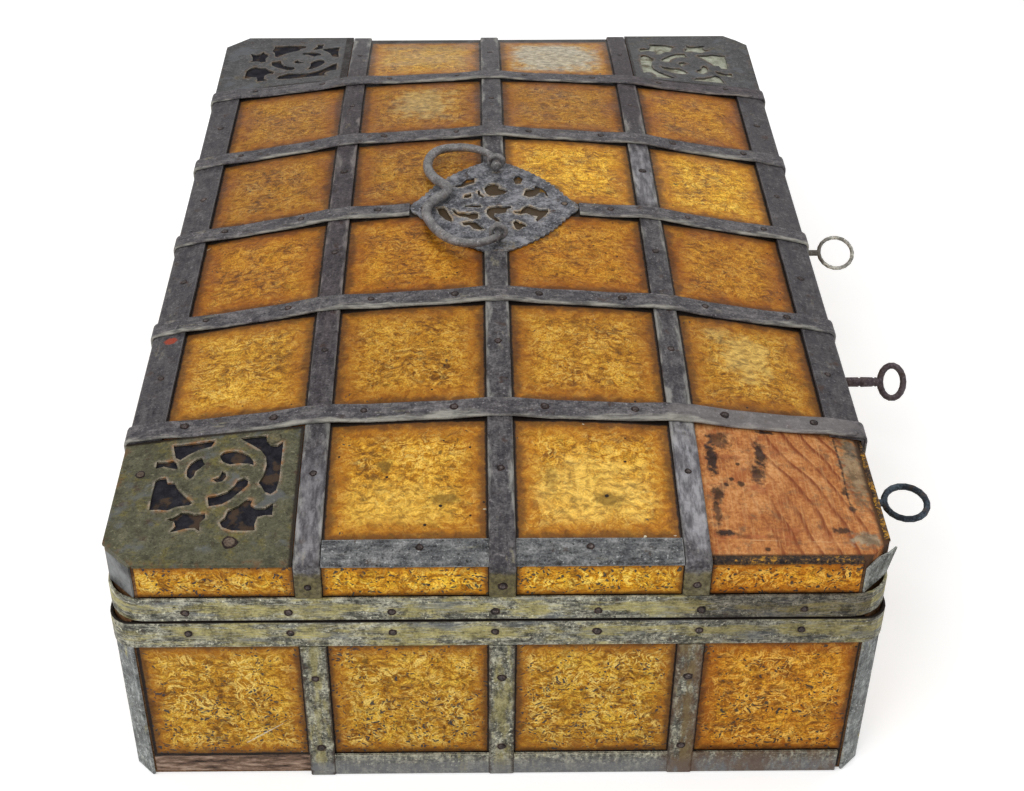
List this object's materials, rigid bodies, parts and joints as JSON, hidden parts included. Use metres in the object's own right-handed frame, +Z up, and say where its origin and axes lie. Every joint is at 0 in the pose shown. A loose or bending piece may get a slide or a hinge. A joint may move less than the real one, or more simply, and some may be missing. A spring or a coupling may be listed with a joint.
{
  "type": "iron-bound casket",
  "caption": "Low wooden casket under amber-lacquered tin with nailed iron straps, pierced corner plates, a hinged domed lid, a bail handle, and locks with their keys in the front wall.",
  "frame": {"origin": "middle of the underside of the bottom board", "axes": "+X towards the front wall with the keys, +Y along the length away from the viewer's end, +Z up"},
  "size_m": [0.5225, 0.6509, 0.2136],
  "materials": {
    "pine": "old bare pine, red-brown, stained by the iron",
    "top_tin": "tin sheet under amber lacquer, crystallised, worn and specked",
    "side_tin": "tin sheet under amber lacquer, brighter, heavily specked",
    "strap_iron": "forged strap iron, dark grey, worn bright on the edges",
    "band_iron": "forged strap iron, olive grey with rusty patches",
    "near_plate_iron": "pierced sheet iron, olive, with rusty cut edges",
    "far_plate_iron": "pierced sheet iron, blue-grey, with brown cut edges",
    "handle_plate_steel": "pierced sheet steel, blue-grey",
    "bail_iron": "forged round iron, worn bright",
    "lock_iron": "dark forged iron",
    "bolt_steel": "filed steel",
    "blued_key": "blued steel",
    "brown_key": "dark brown iron",
    "bright_key": "bright worn steel"
  },
  "bodies": {
    "base": {"bottom_board": "pine", "base_near_board": "pine", "base_far_board": "pine", "base_front_board": "pine", "base_back_board": "pine", "base_near_tin": "side_tin", "base_far_tin": "side_tin", "base_front_tin": "side_tin", "base_back_tin": "side_tin", "base_band": "band_iron", "base_corner_strap_near_front": "band_iron", "base_corner_strap_near_back": "band_iron", "base_corner_strap_far_front": "band_iron", "base_corner_strap_far_back": "band_iron", "base_near_straps": "band_iron", "base_far_straps": "band_iron", "base_front_straps": "band_iron", "base_back_straps": "band_iron", "lock_case_near": "lock_iron", "lock_case_middle": "lock_iron", "lock_case_far": "lock_iron", "hinge_pin_near": "lock_iron", "hinge_pin_far": "lock_iron"},
    "lid": {"lid_top_board": "pine", "lid_rail_frame": "pine", "lid_top_tin": "top_tin", "lid_near_tin": "side_tin", "lid_far_tin": "side_tin", "lid_front_tin": "side_tin", "lid_back_tin": "side_tin", "lid_band": "band_iron", "lid_cross_strap_1": "strap_iron", "lid_cross_strap_2": "strap_iron", "lid_cross_strap_3_back": "strap_iron", "lid_cross_strap_3_front": "strap_iron", "lid_cross_strap_4": "strap_iron", "lid_cross_strap_5": "strap_iron", "lid_long_strap_back": "strap_iron", "lid_long_strap_middle_near": "strap_iron", "lid_long_strap_middle_far": "strap_iron", "lid_long_strap_front": "strap_iron", "lid_edge_strap_front": "strap_iron", "lid_edge_strap_back": "strap_iron", "lid_near_edge_strip": "strap_iron", "corner_plate_near_back": "near_plate_iron", "corner_plate_far_back": "far_plate_iron", "corner_plate_far_front": "far_plate_iron", "lid_corner_strip": "near_plate_iron", "handle_plate": "handle_plate_steel", "handle_eye_near": "bail_iron", "handle_eye_far": "bail_iron", "keeper_bar": "lock_iron"},
    "bail": {"handle_bail": "bail_iron"},
    "near_key": {"key_near": "blued_key"},
    "middle_key": {"key_middle": "brown_key"},
    "far_key": {"key_far": "bright_key"},
    "near_bolt": {"bolt_near": "bolt_steel"},
    "middle_bolt": {"bolt_middle": "bolt_steel"},
    "far_bolt": {"bolt_far": "bolt_steel"}
  },
  "joints": [
    {"name": "lid_hinge", "type": "hinge", "parent": "base", "child": "lid", "pos_m": [-0.22155, 0, 0.1283], "axis": [0, -1, 0], "range_deg": [0, 105]},
    {"name": "bail_swing", "type": "hinge", "parent": "lid", "child": "bail", "pos_m": [0.0037, 0, 0.20689], "axis": [0, 1, 0], "range_deg": [0, 180]},
    {"name": "near_key_turn", "type": "hinge", "parent": "base", "child": "near_key", "pos_m": [0.2, -0.15901, 0.0685], "axis": [-1, 0, 0], "range_deg": [0, 150]},
    {"name": "middle_key_turn", "type": "hinge", "parent": "base", "child": "middle_key", "pos_m": [0.2, -0.02734, 0.0685], "axis": [-1, 0, 0], "range_deg": [0, 150]},
    {"name": "far_key_turn", "type": "hinge", "parent": "base", "child": "far_key", "pos_m": [0.2, 0.144, 0.0685], "axis": [-1, 0, 0], "range_deg": [0, 150]},
    {"name": "near_bolt_slide", "type": "slide", "parent": "base", "child": "near_bolt", "axis": [0, 1, 0], "range_m": [0, 0.012]},
    {"name": "middle_bolt_slide", "type": "slide", "parent": "base", "child": "middle_bolt", "axis": [0, 1, 0], "range_m": [0, 0.012]},
    {"name": "far_bolt_slide", "type": "slide", "parent": "base", "child": "far_bolt", "axis": [0, 1, 0], "range_m": [0, 0.012]}
  ],
  "couplings": [
    {"joint": "near_key_turn", "follows": "near_bolt_slide", "rad_per_m": 218.16},
    {"joint": "middle_key_turn", "follows": "middle_bolt_slide", "rad_per_m": 218.16},
    {"joint": "far_key_turn", "follows": "far_bolt_slide", "rad_per_m": 218.16}
  ]
}
